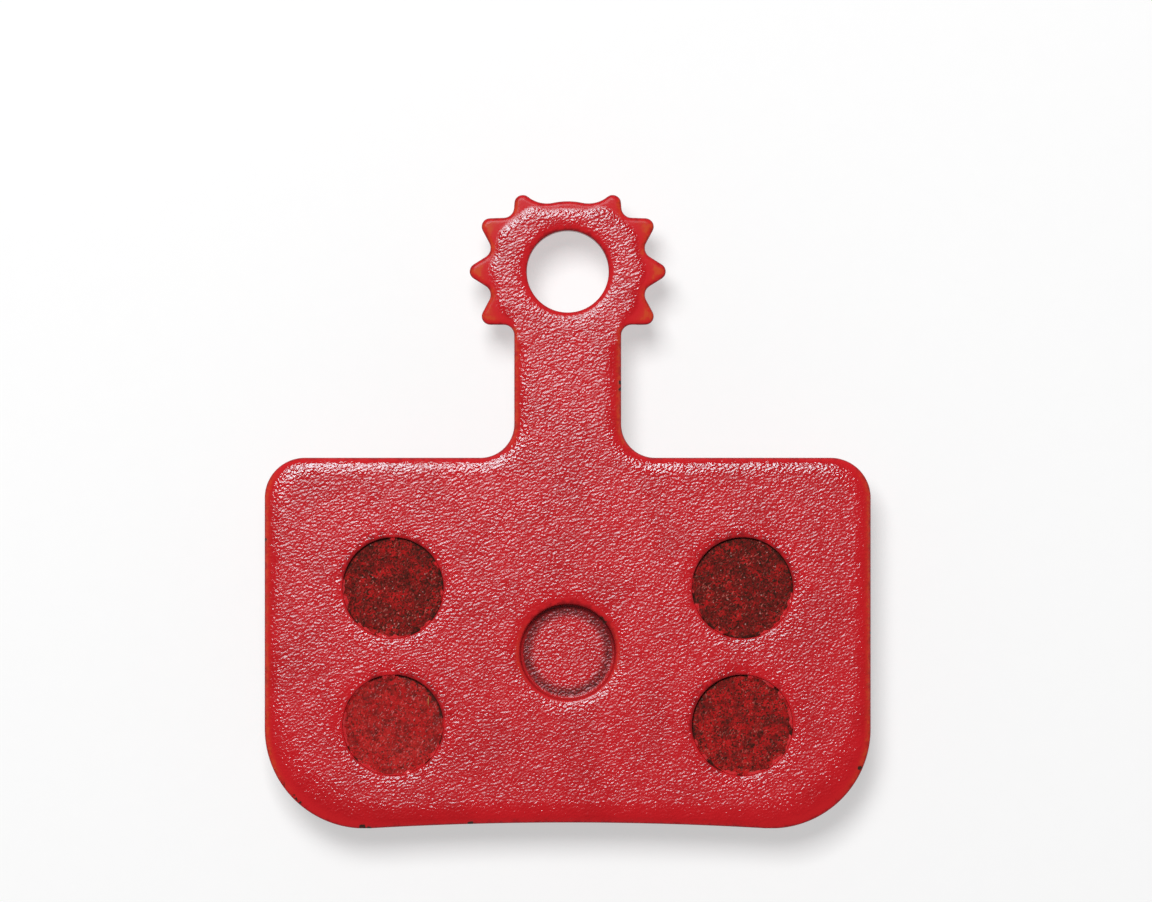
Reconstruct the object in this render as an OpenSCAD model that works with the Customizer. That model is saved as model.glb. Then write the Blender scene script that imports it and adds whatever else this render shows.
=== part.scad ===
// Disc brake pad for a bicycle: a stamped steel backing plate and the friction lining moulded on it.
// The pad lies on its friction face. The origin is on that face, under the centre of the plate's
// dimple. +Z points to the piston side, and +Y to the lug with the pin hole.

/* [Backing plate] */
// Thickness of the steel
plate_t = 1.8; // [1.4:0.1:2.4]
// Width over the two abutment sides
plate_w = 34; // [31:0.5:38]
// Height of the body, from its top edge to the low points of its foot
body_h = 20.8; // [20:0.2:24]
// Distance of the dimple's centre below the body's top edge
dimple_drop = 10.9; // [10.5:0.1:11.5]
// Radius of the two upper corners
top_corner_r = 2.25; // [1:0.25:3.5]
// Radius of the two lower corners
foot_corner_r = 5.6; // [4:0.2:7]
// Radius of the shallow hollow along the foot
foot_bow_r = 190; // [120:10:400]

/* [Neck and lug] */
// Width of the neck
neck_w = 6; // [5:0.25:7]
// Radius where the neck grows out of the body
neck_root_r = 1.9; // [1:0.1:2.5]
// Radius where the neck meets the lowest teeth
throat_r = 0.6; // [0.4:0.1:0.9]
// Height of the pin hole's centre above the body's top edge
pin_rise = 10.45; // [10:0.05:12]
// Diameter of the pin hole
pin_hole_d = 4.6; // [3:0.1:5.2]

/* [Teeth round the lug] */
// Angle from one tooth to the next
tooth_pitch = 30; // [28:1:31]
// Reach of the tooth tips from the pin hole's centre
tooth_reach = 5.5; // [5.4:0.1:6]
// Radius of the rounded tooth tips
tooth_tip_r = 0.47; // [0.3:0.01:0.5]
// Reach of the hollows between the teeth
gap_reach = 4.5; // [4.3:0.1:4.6]
// Radius of the hollows between the teeth
gap_r = 0.58; // [0.5:0.01:0.65]
// Reach of the two horns beside the crown
horn_reach = 5.05; // [4.9:0.05:5.2]
// Lean of each horn towards the tooth below it, in degrees
horn_lean = 3.4; // [2:0.2:5]
// Radius of the smooth crown between the horns
crown_r = 3.94; // [3.8:0.02:4.1]
// Radius of the hollow between a horn and the crown
crown_hollow_r = 1.7; // [1.4:0.1:2]

/* [Rolled edge of the stamping] */
// Depth of the rolled edge on the piston side
roll_depth = 0.3; // [0.1:0.05:0.5]
// Width of the rolled edge along the top, the sides and the neck
roll_w = 0.5; // [0.2:0.05:0.7]
// Width of the rolled edge along the foot
foot_roll_w = 0.9; // [0.5:0.1:1.3]
// How much the rolled edge widens a corner's radius
corner_roll_extra = 1.6; // [0:0.2:2]
// Part of a tooth's height that the rolled edge leaves
tooth_roll_left = 0.7; // [0.5:0.05:0.9]
// Width of the rolled rims of the holes and the dimple
rim_w = 0.3; // [0.1:0.05:0.5]
// Depth of the rolled rims
rim_depth = 0.12; // [0.05:0.01:0.2]

/* [Plug holes and dimple] */
// Diameter of the four holes that the lining's plugs fill
plug_d = 5.66; // [4.5:0.02:6]
// Distance between the two columns of plugs
plug_pitch_x = 19.6; // [17:0.2:21]
// Distance between the two rows of plugs
plug_pitch_y = 7.7; // [6.8:0.1:8.2]
// Distance of the upper row below the body's top edge
plug_drop = 7.3; // [6.5:0.1:7.8]
// Depth of the plugs' ends below the plate's face
plug_shy = 0.25; // [0.15:0.05:0.5]
// Diameter of the dimple that takes the piston's nose
dimple_d = 5.4; // [4:0.1:6]
// Depth of the dimple, and height of the boss behind it
dimple_depth = 0.6; // [0.3:0.1:0.9]

/* [Friction lining] */
// Thickness of the lining
lining_t = 2.2; // [1.2:0.1:2.6]
// Width of the lining
lining_w = 30.2; // [28:0.2:30.6]
// Height of the lining at its middle
lining_h = 17.5; // [16.8:0.1:18.5]
// Distance from the plate's foot up to the lining's
lining_rise = 0.87; // [0.6:0.01:1.2]
// Radius of the lining's arched top edge
lining_arch_r = 110; // [80:10:300]
// Radius of the lining's upper corners
lining_top_r = 4.6; // [2:0.2:5.4]
// Radius of the lining's lower corners
lining_foot_r = 4.1; // [2:0.1:5]

/* [Hidden] */
$fn = 96;

PAINT = [0.78, 0.10, 0.14];
LINING = [0.40, 0.36, 0.26];

// Extra length of a cutter past the face that it opens
past = 0.5;
// Shortest side that an outline keeps
least_side = 0.01;

half_w = plate_w/2;
body_top = dimple_drop;
body_foot = body_top - body_h;
hub = [0, body_top + pin_rise];
face_z = lining_t + plate_t;

// Steps of arc on the rounds of the outlines
corner_steps = 12;
tooth_steps = 8;
bow_steps = 10;
// Steps of arc on the rolled edge's own profile
roll_steps = 4;

// Centres of the four plugs
plug_spots = [for (side = [-1, 1], row = [0, 1])
    [side*plug_pitch_x/2, body_top - plug_drop - row*plug_pitch_y]];

// An outline is a belt laid counter-clockwise round circles [x, y, radius, steps of arc]. It turns
// left round a circle, and right where the radius is negative, and runs straight in between.

// Direction in which the belt runs from one circle to the next
function heading(a, b) =
    let (d = [b.x - a.x, b.y - a.y])
    atan2(d.y, d.x) + asin(max(-1, min(1, (a.z - b.z)/norm(d))));

// Turn from one direction to another, the short way
function turn(from, to) = to - from - 360*round((to - from)/360);

// Point where a belt that runs in a direction touches a circle
function touch(circle, way) = [circle.x + circle.z*sin(way), circle.y - circle.z*cos(way)];

// All the belt's points, with the same count at any size
function belt(circles) =
    let (n = len(circles))
    [for (i = [0:n - 1])
        let (from = heading(circles[(i + n - 1) % n], circles[i]),
             sweep = turn(from, heading(circles[i], circles[(i + 1) % n])),
             steps = circles[i][3])
        for (j = [0:steps]) touch(circles[i], from + sweep*j/steps)];

// Places in a ring whose point isn't the one before it
function distinct(ring) =
    [for (i = [0:len(ring) - 1])
        if (norm(ring[i] - ring[(i + len(ring) - 1) % len(ring)]) > least_side) i];

function picked(ring, places) = [for (i = places) ring[i]];

// The circles of the right half, then those of the left half in the order of the walk
function mirrored(circles) =
    [for (i = [len(circles) - 1:-1:0]) [-circles[i].x, circles[i].y, circles[i].z, circles[i][3]]];

// Height of the centre of a wide arc that touches two corner circles at their sides
function arc_centre_y(corner, reach) = sqrt(reach*reach - corner.x*corner.x);

// Point at a distance and an angle from the pin hole's centre
function from_hub(reach, angle) = hub + reach*[cos(angle), sin(angle)];

function circle_at(centre, r, steps) = [centre.x, centre.y, r, steps];

// Round tip that reaches to a distance from the hub
function tip(angle, reach) =
    circle_at(from_hub(reach - tooth_tip_r, angle), tooth_tip_r, tooth_steps);

function gap(angle) = circle_at(from_hub(gap_reach + gap_r, angle), -gap_r, tooth_steps);

// Angle between a horn and the hollow beside it, which touches both the horn and the crown
horn_angle = 2*tooth_pitch - horn_lean;
horn_arm = horn_reach - tooth_tip_r;
hollow_arm = crown_r + crown_hollow_r;
hollow_span = crown_hollow_r + tooth_tip_r;
hollow_angle = horn_angle
    + acos((horn_arm*horn_arm + hollow_arm*hollow_arm - hollow_span*hollow_span)/(2*horn_arm*hollow_arm));

// Underside of the lowest tooth, from which the throat falls to the neck
throat_y = tip(-tooth_pitch, tooth_reach).y - tooth_tip_r - throat_r;

// Lower corner of the plate: inset is 0 on the sheared edge and 1 where the flat face begins
function foot_corner(inset) =
    let (r = foot_corner_r + inset*corner_roll_extra)
    [half_w - inset*roll_w - r, body_foot + inset*foot_roll_w + r, r, corner_steps];

function top_corner(inset) =
    let (r = top_corner_r + inset*corner_roll_extra/4)
    [half_w - inset*roll_w - r, body_top - inset*roll_w - r, r, corner_steps];

function foot_bow(inset) =
    let (corner = foot_corner(inset), r = foot_bow_r + inset*foot_roll_w)
    [0, corner.y - arc_centre_y(corner, r + corner.z), -r, bow_steps];

// Right half of the plate's outline, from the foot up to the crown
function right_half(inset) = [
    foot_corner(inset),
    top_corner(inset),
    [neck_w/2 + neck_root_r, body_top + neck_root_r, -neck_root_r - inset*roll_w, corner_steps],
    [neck_w/2 + throat_r, throat_y, -throat_r - inset*roll_w, tooth_steps],
    for (i = [-1:1]) each [tip(i*tooth_pitch, tooth_reach), gap((i + 0.5)*tooth_pitch)],
    tip(horn_angle, horn_reach),
    circle_at(from_hub(hollow_arm, hollow_angle), -crown_hollow_r, tooth_steps),
];

function plate_belt(inset) = belt(concat(
    right_half(inset),
    [circle_at(hub, crown_r, tooth_steps)],
    mirrored(right_half(inset)),
    [foot_bow(inset)]));

// Where the flat face begins on the lug: the rolled edge takes more from a tooth than from a gap
function lug_inset(p) =
    let (arm = p - hub)
    hub + arm/norm(arm)*(crown_r - roll_w + (norm(arm) - crown_r)*tooth_roll_left);

function in_lug(p) = p.y > throat_y - least_side;

kept = distinct(plate_belt(0));
edge_ring = picked(plate_belt(0), kept);
body_inset = picked(plate_belt(1), kept);
face_ring = [for (i = [0:len(edge_ring) - 1])
    in_lug(edge_ring[i]) ? lug_inset(edge_ring[i]) : body_inset[i]];

function at_height(ring, z) = [for (p = ring) [p.x, p.y, z]];

// Ring on the rolled edge, from 0 degrees at the flat face to 90 at the sheared edge
function roll_ring(angle) =
    at_height(face_ring + sin(angle)*(edge_ring - face_ring), face_z - roll_depth*(1 - cos(angle)));

// Steel blank before its holes: stacked rings, closed on both sides by fans of triangles that
// spread from the body's centre and from the hub
module blank() {
    n = len(edge_ring);
    rings = [
        at_height(edge_ring, lining_t),
        for (i = [roll_steps:-1:0]) roll_ring(90*i/roll_steps),
    ];
    face = (len(rings) - 1)*n;
    lug = [for (i = [0:n - 1]) if (in_lug(edge_ring[i])) i];
    neck_right = lug[0];
    neck_left = lug[len(lug) - 1];
    // Places of the fans' centres among the points
    body_under = n*len(rings);
    hub_under = body_under + 1;
    body_face = body_under + 2;
    hub_face = body_under + 3;
    function on_lug(i) = i >= neck_right && i < neck_left;
    points = [
        for (ring = rings) each ring,
        for (z = [lining_t, face_z], centre = [[0, 0], hub]) [centre.x, centre.y, z],
    ];
    faces = [
        for (low = [0:n:face - n], i = [0:n - 1])
            let (a = low + i, b = low + (i + 1) % n)
            each [[a, a + n, b + n], [a, b + n, b]],
        for (i = [0:n - 1])
            let (j = (i + 1) % n)
            each [
                [on_lug(i) ? hub_under : body_under, i, j],
                [on_lug(i) ? hub_face : body_face, face + j, face + i],
            ],
        [body_under, neck_right, hub_under],
        [body_under, hub_under, neck_left],
        [body_face, hub_face, face + neck_right],
        [body_face, face + neck_left, hub_face],
    ];
    polyhedron(points, faces);
}

// Cutter for a round opening from the plate's face down to a height, with its rim rolled over
module opening(d, down_to) {
    rotate_extrude() polygon([
        [0, down_to],
        [d/2, down_to],
        for (i = [roll_steps:-1:0])
            [d/2 + rim_w*(1 - sin(90*i/roll_steps)), face_z - rim_depth*(1 - cos(90*i/roll_steps))],
        [d/2 + rim_w, face_z + past],
        [0, face_z + past],
    ]);
}

// Steel plate: blank and the boss behind the dimple, less the pin hole, the plug holes and the dimple
module backing_plate() {
    color(PAINT) difference() {
        union() {
            blank();
            translate([0, 0, lining_t - dimple_depth]) cylinder(d = dimple_d, h = dimple_depth + plate_t/2);
        }
        translate(hub) opening(pin_hole_d, lining_t - past);
        for (spot = plug_spots) translate(spot) opening(plug_d, lining_t - past);
        opening(dimple_d, face_z - dimple_depth);
    }
}

lining_foot = body_foot + lining_rise;
lining_top = lining_foot + lining_h;

function lining_corners() =
    let (x = lining_w/2,
         arch_y = lining_top - lining_arch_r,
         top_x = x - lining_top_r,
         top_y = arch_y + arc_centre_y([top_x, 0], lining_arch_r - lining_top_r))
    [
        [x - lining_foot_r, lining_foot + lining_foot_r, lining_foot_r, corner_steps],
        [top_x, top_y, lining_top_r, corner_steps],
    ];

function lining_ring() =
    let (ring = belt(concat(
        lining_corners(),
        [[0, lining_top - lining_arch_r, lining_arch_r, bow_steps]],
        mirrored(lining_corners()))))
    picked(ring, distinct(ring));

// Lining of moulded compound, with the plugs that key it through the plate
module friction_lining() {
    color(LINING) difference() {
        union() {
            linear_extrude(lining_t) polygon(lining_ring());
            for (spot = plug_spots)
                translate([spot.x, spot.y, lining_t/2])
                    cylinder(d = plug_d, h = lining_t/2 + plate_t - plug_shy);
        }
        translate([0, 0, lining_t - dimple_depth]) cylinder(d = dimple_d, h = dimple_depth + past);
    }
}

backing_plate();
friction_lining();
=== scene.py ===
"""Looks of a bicycle's disc brake pad, which lies on its friction face with the piston side up.

Sizes are in millimetres until a mesh is made. +Z is the piston side, +Y the lug with the pin hole.
"""

import math

import bpy
import numpy as np
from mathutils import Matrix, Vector, geometry, kdtree


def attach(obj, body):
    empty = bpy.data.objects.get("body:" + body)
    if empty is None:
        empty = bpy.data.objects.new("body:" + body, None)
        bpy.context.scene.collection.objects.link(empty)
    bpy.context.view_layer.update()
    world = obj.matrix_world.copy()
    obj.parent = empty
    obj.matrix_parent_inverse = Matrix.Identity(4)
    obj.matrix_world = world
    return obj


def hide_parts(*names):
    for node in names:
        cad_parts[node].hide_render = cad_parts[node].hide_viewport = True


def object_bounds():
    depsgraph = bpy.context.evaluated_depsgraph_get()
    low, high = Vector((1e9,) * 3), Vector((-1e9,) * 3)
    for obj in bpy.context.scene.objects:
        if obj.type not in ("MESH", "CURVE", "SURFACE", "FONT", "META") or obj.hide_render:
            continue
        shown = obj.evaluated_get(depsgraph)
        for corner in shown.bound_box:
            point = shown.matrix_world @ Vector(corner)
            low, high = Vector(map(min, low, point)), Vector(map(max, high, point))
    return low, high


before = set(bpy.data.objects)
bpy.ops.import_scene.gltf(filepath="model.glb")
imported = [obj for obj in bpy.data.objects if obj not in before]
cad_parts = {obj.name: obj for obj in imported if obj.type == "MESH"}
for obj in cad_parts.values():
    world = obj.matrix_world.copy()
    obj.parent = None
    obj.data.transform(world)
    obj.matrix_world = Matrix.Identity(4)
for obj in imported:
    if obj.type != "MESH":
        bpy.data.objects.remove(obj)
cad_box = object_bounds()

MM = 0.001

# Backing plate
LINING_T = 2.2
PLATE_T = 1.8
FACE_Z = LINING_T + PLATE_T
HALF_W = 17.0
BODY_H = 20.8
BODY_TOP = 10.9
BODY_FOOT = BODY_TOP - BODY_H
TOP_CORNER_R = 2.25
FOOT_CORNER_R = 5.6
FOOT_BOW_R = 190.0

# Neck, lug and teeth
NECK_W = 6.0
NECK_ROOT_R = 1.9
THROAT_R = 0.6
HUB_RISE = 10.45
HUB = np.array([0.0, BODY_TOP + HUB_RISE])
PIN_HOLE_R = 2.3
TOOTH_PITCH = 30.0
TOOTH_REACH = 5.5
TOOTH_TIP_R = 0.47
GAP_REACH = 4.5
GAP_R = 0.58
HORN_REACH = 5.05
HORN_LEAN = 3.4
CROWN_R = 3.94
CROWN_HOLLOW_R = 1.7

# Rolled edge of the stamping
ROLL_DEPTH = 0.3
ROLL_W = 0.5
FOOT_ROLL_W = 0.9
CORNER_ROLL_EXTRA = 1.6
RIM_W = 0.3
RIM_DEPTH = 0.12

# Plugs and their holes
PLUG_R = 2.83
PLUG_X = 9.8
PLUG_BELOW_TOP = 7.3
PLUG_PITCH = 7.7
PLUG_SPOTS = [(side*PLUG_X, BODY_TOP - PLUG_BELOW_TOP - row*PLUG_PITCH)
              for side in (-1, 1) for row in (0, 1)]
PLUG_SUNK = 0.25
PLUG_TOP = FACE_Z - PLUG_SUNK
# Paint that each plug has caught, and the darkest side of its rim, in degrees
PLUG_PAINT = (0.35, 1.0, 0.2, 0.85)
PLUG_DARK_SIDE = (95, 60, 75, 165)
# Heights of a plug's fine and coarse relief, and depth of its pores
PLUG_FINE = 0.008
PLUG_COARSE = 0.022
PORE_DEPTH = 0.06

# Dimple
DIMPLE_R = 2.7
DIMPLE_DEPTH = 0.6
DIMPLE_DARK_SIDE = 75
# Slope of its wall, and the round between wall and floor
DIMPLE_WALL_RUN = 0.09
DIMPLE_FILLET = 0.15
DIMPLE_FILLET_RISE = 0.06
# The boss behind it is a little smaller
BOSS_INSET = 0.03

# Friction lining
LINING_HALF_W = 15.1
LINING_FOOT = BODY_FOOT + 0.87
LINING_TOP = LINING_FOOT + 17.5
LINING_ARCH_R = 110.0
LINING_TOP_R = 4.6
LINING_FOOT_R = 4.1
# Direction of the scratches on the friction face, in degrees
SCRATCH_TURN = 38
# Slivers of brass on a plug: x, y, z, direction, length, width, rise and bend
PLUG_SHREDS = [(-7.79, -2.72, PLUG_TOP - 0.02, 86, 0.66, 0.08, 0.08, 0.03)]
# How many are tried on the friction face, and how far inside its edge one has to be
FACE_SHREDS = 45
SHRED_INSET = 0.9

# Side of a triangle on each surface
EDGE_STEP = 0.115
FACE_STEP = 0.12
UNDER_STEP = 0.24
HIDDEN_STEP = 1.5
GROUND_STEP = 0.15
PLUG_STEP = 0.085
# Extra rings of points inside the outline and round the openings, for the curve of the roll
EDGE_RINGS = (0.035, 0.09, 0.17)
RIM_RINGS = (0.04, 0.1, 0.18, 0.27)
# Levels of the plate's sheared wall: share of the way down, and how far it lies back
SHEAR_LEVELS = ((0.12, 0.0), (0.3, 0.004), (0.5, 0.01), (0.72, 0.012), (0.9, 0.01), (0.97, 0.02))
UNDER_BEVEL = 0.07

# The rolled edge falls gently over a wide shoulder, then steeply over part of its width
STEEP_SHARE = 0.58
SHOULDER_MORE = 0.45
SHOULDER_DEPTH = 0.15
SHOULDER_CURVE = 2.1
# On the lug: width of the roll, more smooth paint on the crown, share of a tooth that the flat face
# follows, and how far a tooth falls to its tip
LUG_ROLL_W = 0.38
CROWN_SMOOTH = 0.1
TOOTH_FOLLOW = 0.3
TOOTH_FALL = 0.03
# Half widths of two sides of the lug, in degrees: the crown, and the neck, where it has no edge
CROWN_SIDE = 40
NECK_SIDE = 42

# Rims of the dimple and the plug holes
SMALL_RIM_W = 0.1
SMALL_RIM_DEPTH = 0.06
# Share of a plug hole's rim that is left where paint bridges it
BRIDGED_RIM = 0.3
# The shoulder outside every rim. Round a plug it is shallower, and more so on the dark side
RIM_SHOULDER_W = 0.95
RIM_SHOULDER_DEPTH = 0.06
PLUG_SHOULDER_DEPTH = 0.65*RIM_SHOULDER_DEPTH
PLUG_DARK_LOSS = 0.6
# Width of the smooth paint at a rim, and gloss and width of the shinier band round it
RIM_SMOOTH_W = 0.42
PLUG_SMOOTH_W = 0.17
RIM_GLOSS = 0.42
RIM_GLOSS_W = 0.45
# A line of painted shading at a rim: strength, more of it on the dark side, width, more of it there
RIM_PAINTED_SHADE = (0.5, 0.4, 0.07, 0.15)
PLUG_PAINTED_SHADE = (0.65, 0.3, 0.16, 0.12)

# Relief of the powder coat: wavelengths and spread of the heights
PEEL_SHORT = 0.4
PEEL_LONG = 1.0
PEEL_SPREAD = 0.0028

# Chips in the paint: x, y, radius
CHIPS = [
    (-11.63, -9.86, 0.13), (-11.42, -9.85, 0.18), (-11.20, -9.87, 0.13), (-15.33, -8.05, 0.09),
    (-15.22, -8.28, 0.09), (-15.02, -8.46, 0.08), (-5.48, -9.55, 0.13), (16.40, -6.52, 0.15),
    (2.97, 15.16, 0.11), (2.98, 14.75, 0.13), (-15.9, -7.4, 0.07), (-7.6, -9.66, 0.06),
    (-16.95, 6.3, 0.07), (16.97, 1.1, 0.07),
    (1.93, 1.88, 0.12), (2.07, 1.70, 0.10),
]
CHIP_DEPTH = 0.05

# Middle of the photograph's frame, and its width at the plate's face
VIEW_X = 0.465
VIEW_Y = 11.28
VIEW_W = 64.58
LENS = 200.0
SENSOR_W = 36.0
# What the lamp points at, in metres
PAD_MIDDLE = (0, 0.006, 0.004)
# Share of plain white in what is seen of the floor, so that it is white with a pale shadow
FLOOR_WHITENING = 0.5


def smooth(x, low, high):
    """Rises smoothly from 0 at low to 1 at high."""
    t = np.clip((x - low)/(high - low), 0, 1)
    return t*t*(3 - 2*t)


def unit(angle):
    return np.array([math.cos(math.radians(angle)), math.sin(math.radians(angle))])


def waves(points, shortest, longest, count, seed):
    """Smooth random relief with a spread of 1: plane waves of random direction, length and phase."""
    rng = np.random.default_rng(seed)
    way = rng.normal(size=(count, points.shape[1]))
    way /= np.linalg.norm(way, axis=1)[:, None]
    length = np.exp(rng.uniform(math.log(shortest), math.log(longest), count))
    phase = rng.uniform(0, 2*math.pi, count)
    total = np.zeros(len(points))
    for i in range(count):
        total += np.cos(points @ way[i]*(2*math.pi/length[i]) + phase[i])
    return total*math.sqrt(2/count)


def pits(flat, low, high, count, r_range, seed):
    """Depth from 0 to 1 of round pits scattered over a rectangle."""
    rng = np.random.default_rng(seed)
    spots = rng.uniform(low, high, (count, 2))
    radii = rng.uniform(*r_range, count)
    tree = kdtree.KDTree(count)
    for i, (x, y) in enumerate(spots):
        tree.insert((x, y, 0), i)
    tree.balance()
    found = np.zeros(len(flat))
    for i, (x, y) in enumerate(flat):
        _, place, away = tree.find((x, y, 0))
        if away < radii[place]:
            found[i] = 1 - (away/radii[place])**2
    return found


def lee(arm, r, side):
    """1 on the dark side of a round thing of radius r, the side that gets painted shading, 0 on the other:
    arm goes there from its centre.
    """
    return smooth(arm @ unit(side)/r, -0.1, 0.8)


def plug_seed(number):
    """The first of the seeds for one plug."""
    return 61 + 10*number


def rim_open(arm, number):
    """1 where the seam round a plug is open, 0 where paint bridges it."""
    way = arm/np.hypot(*arm.T).clip(0.3)[:, None]
    dark = lee(arm, PLUG_R, PLUG_DARK_SIDE[number])
    bare = 1 - PLUG_PAINT[number]
    lean = (0.8 + bare)*dark + 0.8*bare
    return smooth(0.8*waves(way, 0.25, 1.6, count=30, seed=plug_seed(number) + 4) + lean, 0.2, 0.9)


class Circle:
    """A circle that an outline's belt runs round, to the left, or to the right where r is negative."""

    def __init__(self, centre, r):
        self.c = np.array(centre, float)
        self.r = r

    def heading_to(self, other):
        d = other.c - self.c
        lean = (self.r - other.r)/np.hypot(*d)
        return math.atan2(d[1], d[0]) + math.asin(max(-1, min(1, lean)))

    def touch(self, way):
        return self.c + self.r*np.array([math.sin(way), -math.cos(way)])

    def mirrored(self):
        return Circle((-self.c[0], self.c[1]), self.r)


def belt(circles):
    """Points of the belt round the circles, without those that fall on the one before."""
    points = []
    for i, circle in enumerate(circles):
        before, after = circles[i - 1], circles[(i + 1) % len(circles)]
        start = before.heading_to(circle)
        sweep = circle.heading_to(after) - start
        sweep -= 2*math.pi*round(sweep/(2*math.pi))
        first, last = before.touch(start), circle.touch(start)
        straight = max(1, math.ceil(np.hypot(*(last - first))/EDGE_STEP))
        arc = max(2, math.ceil(abs(circle.r*sweep)/EDGE_STEP))
        points += [first + (last - first)*j/straight for j in range(1, straight)]
        points += [circle.touch(start + sweep*j/arc) for j in range(arc + 1)]
    ring = np.array(points)
    return ring[np.hypot(*(ring - np.roll(ring, 1, axis=0)).T) > 0.01]


def from_hub(reach, angle):
    return HUB + reach*unit(angle)


def tip(angle, reach):
    return Circle(from_hub(reach - TOOTH_TIP_R, angle), TOOTH_TIP_R)


def gap(angle):
    return Circle(from_hub(GAP_REACH + GAP_R, angle), -GAP_R)


def plate_circles(inset):
    """Circles of the plate's outline: inset 0 is the sheared edge and 1 where the flat face begins."""
    horn_angle = 2*TOOTH_PITCH - HORN_LEAN
    horn_arm = HORN_REACH - TOOTH_TIP_R
    hollow_arm = CROWN_R + CROWN_HOLLOW_R
    hollow_span = CROWN_HOLLOW_R + TOOTH_TIP_R
    opening = (horn_arm**2 + hollow_arm**2 - hollow_span**2)/(2*horn_arm*hollow_arm)
    hollow_angle = horn_angle + math.degrees(math.acos(opening))
    throat_y = tip(-TOOTH_PITCH, TOOTH_REACH).c[1] - TOOTH_TIP_R - THROAT_R

    foot_r = FOOT_CORNER_R + inset*CORNER_ROLL_EXTRA
    foot = Circle((HALF_W - inset*ROLL_W - foot_r, BODY_FOOT + inset*FOOT_ROLL_W + foot_r), foot_r)
    top_r = TOP_CORNER_R + inset*CORNER_ROLL_EXTRA/4
    top = Circle((HALF_W - inset*ROLL_W - top_r, BODY_TOP - inset*ROLL_W - top_r), top_r)
    bow_r = FOOT_BOW_R + inset*FOOT_ROLL_W
    bow_y = foot.c[1] - math.sqrt((bow_r + foot_r)**2 - foot.c[0]**2)

    right = [
        foot,
        top,
        Circle((NECK_W/2 + NECK_ROOT_R, BODY_TOP + NECK_ROOT_R), -NECK_ROOT_R - inset*ROLL_W),
        Circle((NECK_W/2 + THROAT_R, throat_y), -THROAT_R - inset*ROLL_W),
    ]
    for i in (-1, 0, 1):
        right += [tip(i*TOOTH_PITCH, TOOTH_REACH), gap((i + 0.5)*TOOTH_PITCH)]
    right += [tip(horn_angle, HORN_REACH), Circle(from_hub(hollow_arm, hollow_angle), -CROWN_HOLLOW_R)]
    left = [circle.mirrored() for circle in reversed(right)]
    return right + [Circle(HUB, CROWN_R)] + left + [Circle((0, bow_y), -bow_r)]


def lining_circles():
    arch_y = LINING_TOP - LINING_ARCH_R
    top_x = LINING_HALF_W - LINING_TOP_R
    top_y = arch_y + math.sqrt((LINING_ARCH_R - LINING_TOP_R)**2 - top_x**2)
    right = [
        Circle((LINING_HALF_W - LINING_FOOT_R, LINING_FOOT + LINING_FOOT_R), LINING_FOOT_R),
        Circle((top_x, top_y), LINING_TOP_R),
    ]
    return right + [Circle((0, arch_y), LINING_ARCH_R)] + [c.mirrored() for c in reversed(right)]


def ring_normals(ring):
    """Outward normals of a ring that runs counter-clockwise."""
    along = np.roll(ring, -1, axis=0) - np.roll(ring, 1, axis=0)
    out = np.stack([along[:, 1], -along[:, 0]], axis=1)
    return out/np.linalg.norm(out, axis=1)[:, None]


def circle_ring(centre, r):
    angles = np.arange(math.ceil(2*math.pi*r/EDGE_STEP))
    angles = 2*math.pi*angles/len(angles)
    return np.asarray(centre) + r*np.stack([np.cos(angles), np.sin(angles)], axis=1)


class Outline:
    """A closed ring of points that can say how deep inside it a point is."""

    def __init__(self, ring):
        self.ring = ring
        self.out = ring_normals(ring)
        self.tree = kdtree.KDTree(len(ring))
        for i, (x, y) in enumerate(ring):
            self.tree.insert((x, y, 0), i)
        self.tree.balance()

    def depth(self, points):
        """Distance inside the ring, below 0 outside it, and the place of the nearest point of the ring."""
        near = np.array([self.tree.find((x, y, 0))[1] for x, y in points])
        n = len(self.ring)
        best = np.full(len(points), np.inf)
        arms = np.zeros((len(points), 2))
        for low in (near - 1, near):
            a, b = self.ring[low % n], self.ring[(low + 1) % n]
            span = b - a
            share = np.sum((points - a)*span, axis=1)/np.sum(span*span, axis=1)
            arm = points - a - np.clip(share, 0, 1)[:, None]*span
            away = np.linalg.norm(arm, axis=1)
            closer = away < best
            best[closer] = away[closer]
            arms[closer] = arm[closer]
        return np.where(np.sum(arms*self.out[near], axis=1) > 0, -best, best), near

    def within(self, points, low, high=np.inf):
        """Those of the points that lie between two depths."""
        depth, _ = self.depth(points)
        return points[(depth > low) & (depth < high)]


def grid(low, high, step):
    """Points of a grid of even triangles."""
    rows = np.arange(low[1], high[1], step*math.sqrt(3)/2)
    across = np.arange(low[0], high[0], step)
    x = across[None, :] + (np.arange(len(rows)) % 2)[:, None]*step/2
    return np.stack([x.ravel(), np.repeat(rows, len(across))], axis=1)


def grid_over(ring, step):
    return grid(ring.min(axis=0), ring.max(axis=0), step)


def clear_of(points, circles, room):
    """Those of the points that keep some room to every circle (centre, r)."""
    for centre, r in circles:
        points = points[np.hypot(*(points - centre).T) > r + room]
    return points


class Sheet:
    """Flat points for one cover. Some of them are loops: rings of places whose sides stay edges."""

    def __init__(self):
        self.parts, self.loops = [], []

    def add(self, points):
        self.parts.append(points)

    def add_loop(self, ring):
        self.loops.append(np.arange(len(ring)) + sum(len(part) for part in self.parts))
        self.add(ring)

    def points(self):
        return np.concatenate(self.parts)


def new_object(name, data):
    made = bpy.data.objects.new(name, data)
    bpy.context.scene.collection.objects.link(made)
    return made


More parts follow.
